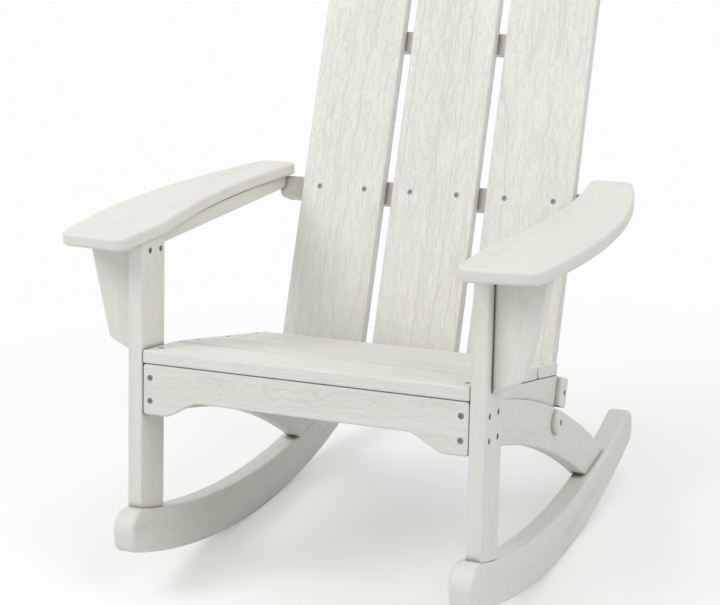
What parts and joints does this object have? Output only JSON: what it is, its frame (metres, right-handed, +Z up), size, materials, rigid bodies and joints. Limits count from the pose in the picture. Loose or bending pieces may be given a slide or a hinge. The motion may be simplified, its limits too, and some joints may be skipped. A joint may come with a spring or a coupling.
{
  "type": "rocking chair",
  "caption": "Slatted garden rocking chair with flat paddle arms, a reclined slat back and two curved runners under raked front posts and bent side legs.",
  "frame": {"origin": "floor level, midway between the runners and midway between the front of the runners and the top of the back", "axes": "+Z up, the sitter faces -Y, +X to the sitter's left"},
  "size_m": [0.7958, 0.8129, 1.0193],
  "materials": {
    "plastic_lumber": "matt, embossed wood grain",
    "stainless_steel": "satin"
  },
  "bodies": {
    "root": {"apron": "plastic_lumber", "apron_screws": "stainless_steel", "arm_back_rail": "plastic_lumber", "arm_bracket_left": "plastic_lumber", "arm_bracket_right": "plastic_lumber", "arm_left": "plastic_lumber", "arm_rail_screws": "stainless_steel", "arm_right": "plastic_lumber", "arm_screws": "stainless_steel", "arm_stringer_left": "plastic_lumber", "arm_stringer_right": "plastic_lumber", "back_slat_centre": "plastic_lumber", "back_slat_left": "plastic_lumber", "back_slat_right": "plastic_lumber", "front_post_left": "plastic_lumber", "front_post_right": "plastic_lumber", "front_slat_screws": "stainless_steel", "lower_back_rail": "plastic_lumber", "lower_rail_screws": "stainless_steel", "post_to_leg_screws": "stainless_steel", "post_top_screws": "stainless_steel", "rail_end_screws": "stainless_steel", "rear_stretcher": "plastic_lumber", "rocker_left": "plastic_lumber", "rocker_right": "plastic_lumber", "runner_screws": "stainless_steel", "seat_rail_left": "plastic_lumber", "seat_rail_right": "plastic_lumber", "seat_screws": "stainless_steel", "seat_slat_1": "plastic_lumber", "seat_slat_2": "plastic_lumber", "seat_slat_3": "plastic_lumber", "seat_slat_4": "plastic_lumber", "side_leg_left": "plastic_lumber", "side_leg_right": "plastic_lumber", "stretcher_screws": "stainless_steel", "upper_back_rail": "plastic_lumber", "upper_rail_screws": "stainless_steel"}
  },
  "joints": []
}
